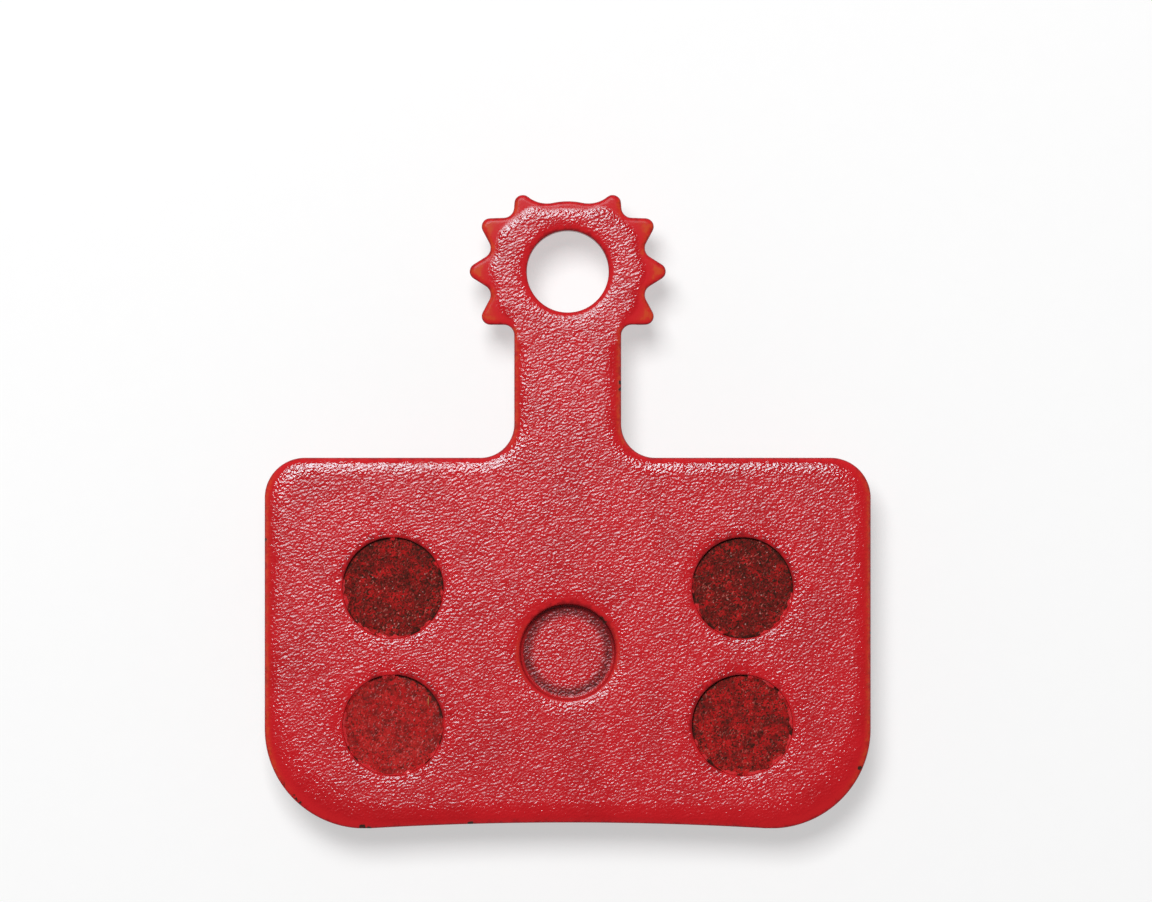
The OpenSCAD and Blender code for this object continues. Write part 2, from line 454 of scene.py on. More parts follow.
class Build:
    """Collects the points and faces of one mesh, and a few values for each point."""

    def __init__(self, *values):
        self.points, self.faces = [], []
        self.count = 0
        self.values = {name: [] for name in values}

    def add(self, points, **values):
        """Adds points and returns their places."""
        first = self.count
        self.points.append(points)
        self.count += len(points)
        for name, kept in self.values.items():
            kept.append(np.broadcast_to(np.asarray(values.get(name, 0.0), float), len(points)))
        return np.arange(first, self.count)

    def cover(self, sheet, places, outline=None, holes=(), up=True):
        """Triangles over a sheet seen from above, within an outline and off the holes (centre, r)."""
        flat = sheet.points()
        edges = []
        for loop in sheet.loops:
            edges += [(int(a), int(b)) for a, b in zip(loop, np.roll(loop, -1))]
        made = geometry.delaunay_2d_cdt([Vector(p) for p in flat], edges, [], 0, 1e-7, False)
        if len(made[0]) != len(flat):
            raise ValueError("two of the points to cover are one")
        faces = np.array(made[2])
        middle = flat[faces].mean(axis=1)
        keep = np.ones(len(faces), bool)
        if outline:
            keep = outline.depth(middle)[0] > 1e-6
        for centre, r in holes:
            keep &= np.hypot(*(middle - centre).T) > r - 1e-3
        faces = faces[keep]
        a, b, c = (flat[faces[:, i]] for i in range(3))
        turned = np.cross(b - a, c - a) < 0
        faces[turned] = faces[turned][:, ::-1]
        faces = places[faces]
        self.faces.append(faces if up else faces[:, ::-1])

    def wall(self, upper, lower, outside=True):
        """A strip between two rings of the same count. Outside says that the solid is within the ring."""
        next_upper, next_lower = np.roll(upper, -1), np.roll(lower, -1)
        for strip in ((upper, lower, next_lower), (upper, next_lower, next_upper)):
            faces = np.stack(strip, axis=1)
            self.faces.append(faces if outside else faces[:, ::-1])

    def mesh(self, name, sharp):
        """The finished object, in metres. Sharp is the least angle of a hard edge, in degrees."""
        points = np.clip(np.concatenate(self.points)*MM, *(np.array(corner) for corner in cad_box))
        faces = np.concatenate(self.faces)
        mesh = bpy.data.meshes.new(name)
        mesh.from_pydata(points, [], faces)
        for value, kept in self.values.items():
            attribute = mesh.attributes.new(value, "FLOAT", "POINT")
            attribute.data.foreach_set("value", np.concatenate(kept).astype(np.float32))
        mesh.shade_smooth()
        mesh.set_sharp_from_angle(angle=math.radians(sharp))
        mesh.update()
        return new_object(name, mesh)


def lug_face_reach():
    """Reach of the lug's flat face for each whole degree round the hub. It follows the teeth a little."""
    edge = belt(plate_circles(0))
    arm = edge[edge[:, 1] > HUB[1] - 4.2] - HUB
    angle = np.degrees(np.arctan2(arm[:, 1], arm[:, 0]))
    order = np.argsort(angle)
    degrees = np.arange(-180, 180)
    around = np.interp(degrees, angle[order], np.hypot(*arm.T)[order], period=360)
    around = np.minimum(around, GAP_REACH) + TOOTH_FOLLOW*np.maximum(around - GAP_REACH, 0)
    around[np.abs(degrees + 90) < NECK_SIDE] = 1.2*TOOTH_REACH
    around[np.abs(degrees - 90) < CROWN_SIDE] -= CROWN_SMOOTH
    spread = 11
    window = np.hanning(2*spread + 1)
    padded = np.concatenate([around[-spread:], around, around[:spread]])
    return degrees, np.convolve(padded, window/window.sum(), "valid") - LUG_ROLL_W


class Rim:
    """The rounded edge of the pin hole or the dimple, and the paint round it."""

    shoulder_depth = RIM_SHOULDER_DEPTH
    dark_loss = 0.0
    smooth_w = RIM_SMOOTH_W
    shade = RIM_PAINTED_SHADE
    fringe = "uneven"

    def __init__(self, centre, r, width, depth, dark_side, lit_share):
        """Lit_share is the width of the smooth paint on the lit side, as a share of the dark side's."""
        self.centre, self.r = centre, r
        self.width, self.depth = width, depth
        self.dark_side, self.lit_share = dark_side, lit_share

    def open_share(self, arm):
        return 1.0

    def shape(self, flat, fringes, looks):
        """How far the face drops to the rim. The paint's values are changed on the way."""
        arm = flat - self.centre
        gap_to = np.hypot(*arm.T) - self.r
        outside = gap_to > -1e-6
        dark = lee(arm, self.r, self.dark_side)
        cut = self.open_share(arm)

        rim = np.clip(1 - gap_to/self.width, 0, 1)
        depth = self.depth*(BRIDGED_RIM + (1 - BRIDGED_RIM)*cut)
        rim = depth*(1 - np.sqrt(np.clip(1 - rim**2, 0, 1)))
        shoulder = self.shoulder_depth*np.clip(1 - gap_to/RIM_SHOULDER_W, 0, 1)**SHOULDER_CURVE
        shoulder = shoulder*(1 - self.dark_loss*dark)

        gloss = RIM_GLOSS*outside*(1 - smooth(gap_to, RIM_GLOSS_W, RIM_SHOULDER_W))
        looks["rim"] = np.maximum(looks["rim"], gloss)
        smooth_w = self.smooth_w*(self.lit_share + (1 - self.lit_share)*dark)
        grain = 0.08 + 0.92*smooth(gap_to, 0.15*smooth_w, smooth_w)
        looks["grain"] = looks["grain"]*np.where(outside, grain, 1)
        # Painted shading: a dark line round the rim, stronger and wider on its dark side
        strength, more_strength, width, more_width = self.shade
        ragged = gap_to*fringes[self.fringe]
        line = (strength + more_strength*dark)*(1 - smooth(ragged, 0.0, width + more_width*dark))
        looks["shade"] = np.maximum(looks["shade"], np.where(outside, line*cut, 0))
        return np.where(outside, rim + shoulder, 0)


class PlugRim(Rim):
    """The same round a plug, where paint bridges part of the seam."""

    shoulder_depth = PLUG_SHOULDER_DEPTH
    dark_loss = PLUG_DARK_LOSS
    smooth_w = PLUG_SMOOTH_W
    shade = PLUG_PAINTED_SHADE
    fringe = "torn"

    def __init__(self, number):
        centre = np.array(PLUG_SPOTS[number])
        super().__init__(centre, PLUG_R, SMALL_RIM_W, SMALL_RIM_DEPTH, PLUG_DARK_SIDE[number], 0.5)
        self.number = number

    def open_share(self, arm):
        return rim_open(arm, self.number)


def chipped(flat):
    """1 where the paint has chipped off."""
    chip = np.zeros(len(flat))
    ragged = np.clip(1 + 0.3*waves(flat, 0.12, 0.4, count=12, seed=31), 0.65, 1.5)
    for x, y, r in CHIPS:
        away = np.hypot(flat[:, 0] - x, flat[:, 1] - y)/ragged
        chip = np.maximum(chip, 1 - smooth(away, 0.6*r, 1.1*r))
    return chip


class PlateFace:
    """Heights and paint of the plate's piston side."""

    def __init__(self):
        self.edge = belt(plate_circles(0))
        self.outline = Outline(self.edge)
        lug = smooth(self.edge[:, 1], HUB[1] - 4.6, HUB[1] - 3.4)
        wide, _ = Outline(belt(plate_circles(1))).depth(self.edge)
        self.roll_w = -wide*(1 - lug) + LUG_ROLL_W*lug
        for _ in range(12):
            self.roll_w = (np.roll(self.roll_w, 1) + self.roll_w + np.roll(self.roll_w, -1))/3
        self.reach = lug_face_reach()
        self.openings = [(HUB, PIN_HOLE_R)] + [(np.array(spot), PLUG_R) for spot in PLUG_SPOTS]
        self.rims = [
            Rim(HUB, PIN_HOLE_R, RIM_W, RIM_DEPTH, DIMPLE_DARK_SIDE, 1.0),
            Rim(np.zeros(2), DIMPLE_R, SMALL_RIM_W, SMALL_RIM_DEPTH, DIMPLE_DARK_SIDE, 0.5),
        ]
        self.rims += [PlugRim(number) for number in range(len(PLUG_SPOTS))]

    def sheet(self):
        """Flat points of the face. Its loops are the edge, the openings and the dimple's rings."""
        sheet = Sheet()
        sheet.add_loop(self.edge)
        for inset in EDGE_RINGS:
            sheet.add(self.edge - self.outline.out*inset)
        outermost = RIM_RINGS[-1]
        for centre, r in self.openings:
            sheet.add_loop(circle_ring(centre, r))
            for grow in RIM_RINGS:
                sheet.add(circle_ring(centre, r + grow))
        wall_foot = DIMPLE_R - DIMPLE_WALL_RUN
        radii = [DIMPLE_R + grow for grow in reversed(RIM_RINGS)]
        radii += [DIMPLE_R, DIMPLE_R - 0.45*DIMPLE_WALL_RUN, wall_foot]
        radii += [wall_foot - 0.35*DIMPLE_FILLET, wall_foot - DIMPLE_FILLET]
        for r in radii:
            sheet.add_loop(circle_ring((0, 0), r))

        inner = self.outline.within(grid_over(self.edge, FACE_STEP), EDGE_RINGS[-1] + 0.6*FACE_STEP)
        inner = clear_of(inner, [(centre, r + outermost) for centre, r in self.openings], 0.5*FACE_STEP)
        middle = np.hypot(*inner.T)
        on_floor = middle < radii[-1] - 0.5*FACE_STEP
        sheet.add(inner[on_floor | (middle > DIMPLE_R + outermost + 0.5*FACE_STEP)])
        return sheet

    def shape(self, flat):
        """Height at points of the face, and the values that its paint needs there."""
        fringes = {
            "uneven": np.clip(1 + 0.45*waves(flat, 0.2, 1.2, count=30, seed=37), 0.4, 2),
            "torn": np.clip(1 + 0.8*waves(flat, 0.15, 0.7, count=30, seed=39), 0.35, 3),
        }
        drop, looks = self.shape_edge(flat, fringes["uneven"])
        for rim in self.rims:
            drop += rim.shape(flat, fringes, looks)
        drop = self.shape_dimple(flat, drop, looks)
        looks["chip"] = chipped(flat)
        drop += CHIP_DEPTH*looks["chip"]
        peel = waves(flat, PEEL_SHORT, PEEL_LONG, count=90, seed=11)
        drop += looks["grain"]*PEEL_SPREAD*np.clip(3 - peel, 0, 6)
        return FACE_Z - drop, looks

    def shape_edge(self, flat, uneven):
        """How far the face drops along the rolled edge and on the teeth, and the paint there."""
        depth, near = self.outline.depth(flat)
        depth = np.maximum(depth, 0)
        width = self.roll_w[near]
        arm = flat - HUB
        away = np.hypot(*arm.T)
        lug = smooth(flat[:, 1], HUB[1] - 4.4, HUB[1] - 3.4)
        angle = np.degrees(np.arctan2(arm[:, 1], arm[:, 0]))
        beyond = away - np.interp(angle, *self.reach, period=360)
        roll = np.clip(1 - depth/(STEEP_SHARE*width), 0, 1)
        within = depth*(1 - lug) + np.maximum(width - beyond, width)*lug

        drop = lug*TOOTH_FALL*np.clip(beyond/(TOOTH_REACH - GAP_REACH), 0, 1)
        drop += (ROLL_DEPTH - SHOULDER_DEPTH)*(1 - np.sqrt(1 - roll**2))
        drop += SHOULDER_DEPTH*np.clip(1 - within/(width + SHOULDER_MORE), 0, 1)**SHOULDER_CURVE
        drop = np.minimum(drop, ROLL_DEPTH)

        gloss = 1 - smooth(within, width + 0.2, width + SHOULDER_MORE + 0.1)
        gloss *= 0.5 + 0.5*np.clip(self.outline.out[near][:, 1], 0, 1)
        grain = (1 - 0.95*smooth(roll, 0.15, 0.75))*(1 - lug*smooth(beyond, -0.1, 0.14))
        sideways = np.abs(self.outline.out[near][:, 0])
        tan = 0.75*smooth(sideways, 0.6, 0.95)*smooth(depth, 0.0, 0.06)*(1 - smooth(depth, 0.2, 0.42))
        on_tooth = smooth(beyond, 0.15, 0.6)*smooth(depth, 0.05, 0.3)
        tan = np.maximum(tan, lug*on_tooth*smooth(np.abs(arm[:, 0])/away, 0.6, 0.95))
        # Painted shading: a dark line along the steep roll of the edge
        shade = 0.75*(1 - smooth(depth*uneven, 0.0, 0.11))
        return drop, dict(rim=gloss, grain=grain, tan=tan, shade=shade)

    def shape_dimple(self, flat, drop, looks):
        """The drop with the dimple in it. The paint's values are changed on the way."""
        middle = np.hypot(*flat.T)
        dark = lee(flat, DIMPLE_R, DIMPLE_DARK_SIDE)
        wall_foot = DIMPLE_R - DIMPLE_WALL_RUN
        inside = middle < DIMPLE_R - 1e-6
        wall = inside & (middle > wall_foot - 1e-6)
        wall_top = SMALL_RIM_DEPTH + RIM_SHOULDER_DEPTH
        down = np.clip((DIMPLE_R - middle)/DIMPLE_WALL_RUN, 0, 1)
        fillet = np.clip((middle - (wall_foot - DIMPLE_FILLET))/DIMPLE_FILLET, 0, 1)
        dimple = wall_top + (DIMPLE_DEPTH - DIMPLE_FILLET_RISE - wall_top)*down
        dimple = np.where(down >= 1, DIMPLE_DEPTH - DIMPLE_FILLET_RISE*fillet**2, dimple)

        looks["grain"] = np.where(wall, 0.0, looks["grain"])
        looks["floor"] = np.where(inside & ~wall, 1.0, 0.0)
        # Starved paint with painted shading: a darker ring on the floor near the wall, lifted at the wall's
        # foot on the lit side
        painted = 0.8*smooth(middle, 2.47, 2.56)*(1 - dark)
        looks["thin"] = inside*smooth(middle, 1.75, 2.25)*(1 - painted)
        beside = smooth(np.abs(flat[:, 0])/middle.clip(0.1), 0.7, 1.0)
        ring = smooth(middle, 2.72, 2.8)*(1 - smooth(middle, 2.88, 3.02))
        looks["tan"] = np.maximum(looks["tan"], 0.55*beside*ring)
        # Painted shadow in the corner under the wall on the dark side, and painted shading on that wall
        corner = smooth(middle, 2.3, wall_foot)*dark
        looks["shade"] = np.where(inside, np.maximum(0.3*wall*dark, corner), looks["shade"])
        return np.where(inside, dimple, drop)


def add_sheared_wall(build, ring, upper, upper_z, chip):
    """The plate's side, from the ring of places upper down to near the underside. Returns the last ring."""
    out = ring_normals(ring)
    for share, back in SHEAR_LEVELS:
        level = np.column_stack([ring, upper_z + (LINING_T - upper_z)*share])
        rough = 0.5 + 0.5*np.tanh(waves(level*[1, 1, 0.5], 0.3, 1.6, count=40, seed=17))
        level[:, :2] -= out*(back + 0.02*min(1, share*4)*rough)[:, None]
        # Painted shading on the sheared wall, darker lower down
        lower = build.add(level, chip=np.maximum(0, chip - share), shade=0.6 + 0.2*share)
        build.wall(upper, lower)
        upper = lower
    return upper


def add_underside(build, face, upper):
    """The plate's underside, coarse where the lining covers it. Returns the places of its loops."""
    edge = face.edge - face.outline.out*UNDER_BEVEL
    boss_r = DIMPLE_R - BOSS_INSET
    circles = face.openings + [(np.zeros(2), boss_r), (np.zeros(2), boss_r - BOSS_INSET)]
    lining = Outline(belt(lining_circles()))
    seen = face.outline.within(grid_over(face.edge, UNDER_STEP), UNDER_BEVEL + 0.5*UNDER_STEP)
    seen = lining.within(seen, -np.inf, 0.5)
    hidden = lining.within(grid_over(face.edge, HIDDEN_STEP), 1.0)
    sheet = Sheet()
    for ring in [edge] + [circle_ring(*circle) for circle in circles]:
        sheet.add_loop(ring)
    sheet.add(clear_of(seen, circles, 0.5*UNDER_STEP))
    sheet.add(clear_of(hidden, circles, 0.5))

    flat = sheet.points()
    covered = smooth(lining.depth(flat)[0], -0.6, 0.1)
    peel = np.clip(1.5 + waves(flat, 0.5, 1.4, count=60, seed=23), 0, 3)
    z = LINING_T + 0.012*(1 - covered)*peel
    z[np.hypot(*flat.T) < boss_r - 0.01] = LINING_T - DIMPLE_DEPTH + 0.02
    z[:len(edge)] = LINING_T
    # Painted shading darkens the underside
    places = build.add(np.column_stack([flat, z]), grain=0.9, shade=0.6)
    build.cover(sheet, places, Outline(edge), face.openings, up=False)
    build.wall(upper, places[:len(edge)])
    return [places[loop] for loop in sheet.loops]


def build_plate():
    """The painted steel plate, as one closed mesh."""
    build = Build("grain", "chip", "thin", "tan", "shade", "floor", "rim")
    face = PlateFace()
    sheet = face.sheet()
    flat = sheet.points()
    z, looks = face.shape(flat)
    top = build.add(np.column_stack([flat, z]), **looks)
    build.cover(sheet, top, face.outline, face.openings)
    edge = sheet.loops[0]
    foot = add_sheared_wall(build, face.edge, top[edge], z[edge], looks["chip"][edge])
    under_loops = add_underside(build, face, foot)

    for (centre, r), loop, low_loop in zip(face.openings, sheet.loops[1:], under_loops[1:]):
        upper = top[loop]
        for share in (0.25, 0.5, 0.75):
            level = np.column_stack([circle_ring(centre, r), z[loop] + (LINING_T - z[loop])*share])
            # Painted shading on the walls of the openings
            lower = build.add(level, shade=0.5)
            build.wall(upper, lower, outside=False)
            upper = lower
        build.wall(upper, low_loop, outside=False)
    return build.mesh("painted_plate", sharp=70)


def add_ground_face(build, outline, chew):
    """The ground friction face, with scratches and pits. Returns its edge's places and heights."""
    edge = outline.ring
    ground_edge = edge - outline.out*(0.06 + 0.22*chew**2)[:, None]
    sheet = Sheet()
    sheet.add_loop(ground_edge)
    sheet.add(outline.within(grid_over(edge, GROUND_STEP), 0.28 + 0.5*GROUND_STEP))
    flat = sheet.points()

    x, y = unit(SCRATCH_TURN)
    turned = flat @ np.array([[x, -y], [y, x]])
    scratch = waves(turned*[0.04, 1], 0.3, 1.4, count=60, seed=43)
    orange_share = pits(flat, edge.min(axis=0), edge.max(axis=0), count=900, r_range=(0.12, 0.4), seed=47)
    lumps = waves(flat, 0.3, 0.9, count=50, seed=53)
    z = 0.008*np.clip(2.5 + scratch, 0, 5) + 0.11*orange_share**0.7 + 0.01*np.clip(lumps, -1, 2)
    z = np.clip(z, 0, 0.25)
    z[:len(edge)] = 0.03 + 0.12*chew
    places = build.add(np.column_stack([flat, z]), ground=1.0)
    build.cover(sheet, places, Outline(ground_edge), up=False)
    return places[:len(edge)], z[:len(edge)]


def add_moulded_sides(build, outline, lower, lower_z, chew):
    """Rough sides, with the plate's paint on their upper part. Returns the last ring and its places."""
    for share in np.linspace(0.12, 1, 13):
        level = np.column_stack([outline.ring, lower_z + (LINING_T - lower_z)*share])
        rough = waves(level, 0.25, 1.3, count=60, seed=59)
        back = 0.02 + 0.05*np.clip(1.2 + rough, 0, 3)*(1 - 0.4*share) + 0.12*chew*max(0, 0.4 - share)
        if share > 0.999:
            back = np.full(len(level), 0.03)
        level[:, :2] -= outline.out*back[:, None]
        upper = build.add(level, paint=0.25 + 0.6*share)
        build.wall(upper, lower)
        lower = upper
    return level[:, :2], lower


def add_hidden_roof(build, outline, ring, roof, holes):
    """Top of the block under the plate, with the pocket for its boss. Returns the places of the holes."""
    sheet = Sheet()
    for loop in [ring, circle_ring((0, 0), DIMPLE_R), circle_ring((0, 0), DIMPLE_R - BOSS_INSET)]:
        sheet.add_loop(loop)
    for hole in holes:
        sheet.add_loop(circle_ring(*hole))
    spare = outline.within(grid_over(outline.ring, HIDDEN_STEP), 0.6)
    sheet.add(clear_of(spare, holes + [(np.zeros(2), DIMPLE_R)], 0.5))

    flat = sheet.points()
    z = np.full(len(flat), LINING_T)
    z[np.hypot(*flat.T) < DIMPLE_R - 0.01] = LINING_T - DIMPLE_DEPTH
    rest = build.add(np.column_stack([flat, z])[len(ring):])
    places = np.concatenate([roof, rest])
    build.cover(sheet, places, Outline(ring), holes)
    return [places[loop] for loop in sheet.loops[3:]]


def add_plug(build, number, hole, low):
    """The end of one plug, sunk a little below the plate's face. Paint bridges part of its rim."""
    centre, r = hole
    seed = plug_seed(number)
    inner_r = r - 0.1
    sheet = Sheet()
    sheet.add_loop(circle_ring(centre, r))
    sheet.add(circle_ring(centre, inner_r))
    fine = grid(centre - r, centre + r, PLUG_STEP)
    sheet.add(fine[np.hypot(*(fine - centre).T) < inner_r - 0.5*PLUG_STEP])
    flat = sheet.points()
    arm = flat - centre
    away = np.hypot(*arm.T)
    dark = lee(arm, r, PLUG_DARK_SIDE[number])
    open_rim = rim_open(arm, number)

    ragged = 0.11 + 0.11*np.clip(0.6 + waves(flat, 0.4, 2.0, count=40, seed=seed), 0, 2)
    edge = smooth(away, r - ragged, r - 0.02)
    relief = PLUG_FINE*waves(flat, 0.16, 0.5, count=80, seed=seed + 1)
    relief += PLUG_COARSE*waves(flat, 0.6, 2.4, count=40, seed=seed + 2)
    pores = pits(flat, centre - r, centre + r, count=60, r_range=(0.05, 0.14), seed=seed + 3)
    z = PLUG_TOP + np.clip(relief, -0.12, 0.14)*(1 - edge) - PORE_DEPTH*pores
    flush = PLUG_SUNK - PLUG_SHOULDER_DEPTH - BRIDGED_RIM*SMALL_RIM_DEPTH
    z += edge*(flush*(1 - open_rim) - 0.03*open_rim)

    # Painted shading near the rim on the plug's dark side, mixed with dark compound where little paint
    # caught; the seam colour also marks the open seam and pores
    shade_and_bare = smooth(away + 0.25*waves(flat, 0.3, 1.4, count=40, seed=seed + 5), r - 0.6, r)
    shade_and_bare *= np.maximum(dark, 0.55*(1 - PLUG_PAINT[number]))
    crack = np.maximum(0.85*edge*open_rim, np.maximum(0.55*pores, 0.5*shade_and_bare))
    top = build.add(np.column_stack([flat, z]), paint=1.0, plug=0.5 + 0.5*PLUG_PAINT[number],
                    crack=crack, bridge=edge*(1 - open_rim))
    build.cover(sheet, top)
    rim = sheet.loops[0]
    level = np.column_stack([flat[rim], np.full(len(rim), LINING_T + 0.7)])
    # Painted shading on the plug's side down in its hole
    middle = build.add(level, crack=1.0)
    build.wall(top[rim], middle)
    build.wall(middle, low)


def add_shred(build, x, y, z, turn, length, width, rise, bend):
    """A bent sliver of brass in a surface, pointed at both ends. It rises from z, or falls if rise < 0."""
    along = unit(turn)
    across = np.array([-along[1], along[0]])
    shares = np.linspace(-1, 1, 9)
    spine = np.array([x, y]) + np.outer(shares, along)*length/2 + np.outer(1 - shares**2, across)*bend
    half = np.outer(width/2*(1.02 - shares**2), across)
    crest = z + rise*(0.4 + 0.6*(1 - shares**2))
    base = np.full(len(shares), z)
    rows = [np.column_stack([spine + half, base]), np.column_stack([spine - half, base]),
            np.column_stack([spine, crest])]
    a, b, c = (build.add(row, brass=1.0) for row in rows)
    faces = [(a[0], b[0], c[0]), (a[-1], c[-1], b[-1])]
    for low, high in ((a, c), (c, b), (b, a)):
        for i in range(len(shares) - 1):
            faces += [(low[i], high[i], high[i + 1]), (low[i], high[i + 1], low[i + 1])]
    faces = np.array(faces)
    build.faces.append(faces if rise > 0 else faces[:, ::-1])


def scatter_shreds(build, outline):
    """Slivers of brass sunk in the friction face."""
    rng = np.random.default_rng(71)
    low, high = outline.ring.min(axis=0), outline.ring.max(axis=0)
    for x, y in rng.uniform(low, high, (FACE_SHREDS, 2)):
        turn, length, bend = rng.uniform(0, 180), rng.uniform(0.3, 1.1), rng.uniform(-0.06, 0.06)
        if outline.depth(np.array([[x, y]]))[0][0] > SHRED_INSET:
            add_shred(build, x, y, 0.05, turn, length, rng.uniform(0.08, 0.20), -0.05, bend)


def build_lining():
    """The moulded lining and its four plugs, as one closed mesh, and its slivers of brass."""
    build = Build("paint", "ground", "crack", "plug", "brass", "bridge")
    outline = Outline(belt(lining_circles()))
    holes = [(np.array(spot), PLUG_R - 0.02) for spot in PLUG_SPOTS]
    chew = 0.5 + 0.5*np.tanh(1.6*waves(outline.ring, 0.35, 2.2, count=50, seed=41))
    foot, foot_z = add_ground_face(build, outline, chew)
    ring, roof = add_moulded_sides(build, outline, foot, foot_z, chew)
    hole_loops = add_hidden_roof(build, outline, ring, roof, holes)
    for number, (hole, loop) in enumerate(zip(holes, hole_loops)):
        add_plug(build, number, hole, loop)
    for shred in PLUG_SHREDS:
        add_shred(build, *shred)
    scatter_shreds(build, outline)
    return build.mesh("compound_block", sharp=60)


class Paint:
    """A material under construction, with short ways to add nodes and links."""

    def __init__(self, name):
        self.material = bpy.data.materials.new(name)
        self.material.use_nodes = True
        self.tree = self.material.node_tree
        self.shader = self.tree.nodes["Principled BSDF"]
        scaled = self.add("ShaderNodeVectorMath", operation="SCALE")
        self.put(scaled.inputs[0], self.add("ShaderNodeTexCoord").outputs["Object"])
        scaled.inputs["Scale"].default_value = 1/MM
        self.place = scaled.outputs[0]

    def add(self, kind, **settings):
        node = self.tree.nodes.new(kind)
        for name, value in settings.items():
            setattr(node, name, value)
        return node

    def put(self, socket, value):
        """Links an output to a socket, or sets a plain value on it."""
        if isinstance(value, bpy.types.NodeSocket):
            self.tree.links.new(value, socket)
        else:
            socket.default_value = value

    def set(self, name, value):
        """Puts a value on one of the shader's own sockets."""
        self.put(self.shader.inputs[name], value)

    def math(self, operation, a, b, clamp=False):
        node = self.add("ShaderNodeMath", operation=operation, use_clamp=clamp)
        self.put(node.inputs[0], a)
        self.put(node.inputs[1], b)
        return node.outputs[0]

    def times(self, a, b):
        return self.math("MULTIPLY", a, b)

    def plus(self, a, b):
        return self.math("ADD", a, b)

    def minus(self, a, b):
        return self.math("SUBTRACT", a, b)

    def values(self, *names):
        """Values that the mesh carries for each point."""
        return [self.add("ShaderNodeAttribute", attribute_name=name).outputs["Fac"] for name in names]

    def stretched(self, longer, turn):
        """Coordinates in which shapes are longer by a factor along each axis, turned about Z."""
        node = self.add("ShaderNodeMapping", vector_type="TEXTURE")
        self.put(node.inputs["Vector"], self.place)
        node.inputs["Rotation"].default_value = (0, 0, math.radians(turn))
        node.inputs["Scale"].default_value = longer
        return node.outputs[0]

    def noise(self, scale, detail, rough, place=None, warp=0.0):
        """Noise with so many shapes to a millimetre."""
        node = self.add("ShaderNodeTexNoise")
        self.put(node.inputs["Vector"], place or self.place)
        node.inputs["Scale"].default_value = scale
        node.inputs["Detail"].default_value = detail
        node.inputs["Roughness"].default_value = rough
        node.inputs["Distortion"].default_value = warp
        return node.outputs["Fac"]

    def cells(self, scale, place=None):
        """Grains, so many to a millimetre: distance from the middle of one, and a colour for each."""
        node = self.add("ShaderNodeTexVoronoi")
        self.put(node.inputs["Vector"], place or self.place)
        node.inputs["Scale"].default_value = scale
        return node.outputs["Distance"], node.outputs["Color"]

    def ramp(self, value, low, high, start=0.0, end=1.0):
        """Start up to low, end from high on, smooth in between."""
        node = self.add("ShaderNodeMapRange", interpolation_type="SMOOTHSTEP")
        self.put(node.inputs["Value"], value)
        for name, number in zip(("From Min", "From Max", "To Min", "To Max"), (low, high, start, end)):
            node.inputs[name].default_value = number
        return node.outputs[0]

    def mix(self, share, a, b):
        """Colour a where share is 0, and b where it is 1."""
        node = self.add("ShaderNodeMix", data_type="RGBA")
        self.put(node.inputs[0], share)
        for socket, colour in ((node.inputs[6], a), (node.inputs[7], b)):
            self.put(socket, (*colour, 1) if isinstance(colour, tuple) else colour)
        return node.outputs[2]

    def mix_value(self, share, a, b):
        """Number a where share is 0, and b where it is 1."""
        node = self.add("ShaderNodeMix", data_type="FLOAT")
        for socket, value in zip(node.inputs[:1] + node.inputs[2:4], (share, a, b)):
            self.put(socket, value)
        return node.outputs[0]

    def ragged(self, value, scale, strength):
        """A value whose edges are frayed by noise."""
        fray = self.minus(self.noise(scale, 3.0, 0.7), 0.5)
        return self.plus(value, self.times(fray, strength))

    def bump(self, height):
        """Relief from a height in millimetres."""
        node = self.add("ShaderNodeBump")
        node.inputs["Distance"].default_value = MM
        node.inputs["Strength"].default_value = 1.0
        self.put(node.inputs["Height"], height)
        return node.outputs[0]


# Powder coat
RED = (0.53, 0.010, 0.015)
DEEP_RED = (0.46, 0.008, 0.012)
SHEEN_RED = (0.54, 0.0155, 0.0195)
SIDE_EDGE_ORANGE = (0.53, 0.058, 0.018)
SPECK_RED = (0.10, 0.012, 0.012)
STARVED_AND_SHADE_RED = (0.095, 0.014, 0.014)
PAINTED_SHADE_RED = (0.11, 0.005, 0.007)
BARE_STEEL = (0.05, 0.02, 0.014)
# Tint of its gloss, and of the gloss where the paint is starved
GLOSS_TINT = (0.52, 0.93, 1.0)
STARVED_TINT = (1.0, 0.66, 0.74)

# Bare compound
DARK_RESIN = (0.070, 0.046, 0.020)
PALE_RESIN = (0.175, 0.128, 0.062)
STEEL_GRIT = (0.30, 0.26, 0.21)
GRAPHITE = (0.018, 0.015, 0.013)
SCORED = (0.27, 0.24, 0.19)
FURROW = (0.030, 0.026, 0.024)
BRASS_GRAIN = (0.62, 0.42, 0.12)
BRASS_SHRED = (0.68, 0.44, 0.13)

# Paint sprayed on compound, and what shows in it
THIN_SPRAY = (0.16, 0.010, 0.009)
THICK_SPRAY = (0.43, 0.011, 0.012)
SHEEN_MIST = (0.50, 0.026, 0.022)
DARK_GRAIN = (0.035, 0.012, 0.008)
DARK_PORE = (0.028, 0.011, 0.007)
PAINTED_PORE = (0.12, 0.011, 0.009)
FLECK = (0.46, 0.14, 0.11)
PALE_FLECK = (0.64, 0.27, 0.26)
SEAM_AND_SHADE = (0.028, 0.012, 0.008)
GLINT = (0.64, 0.34, 0.31)


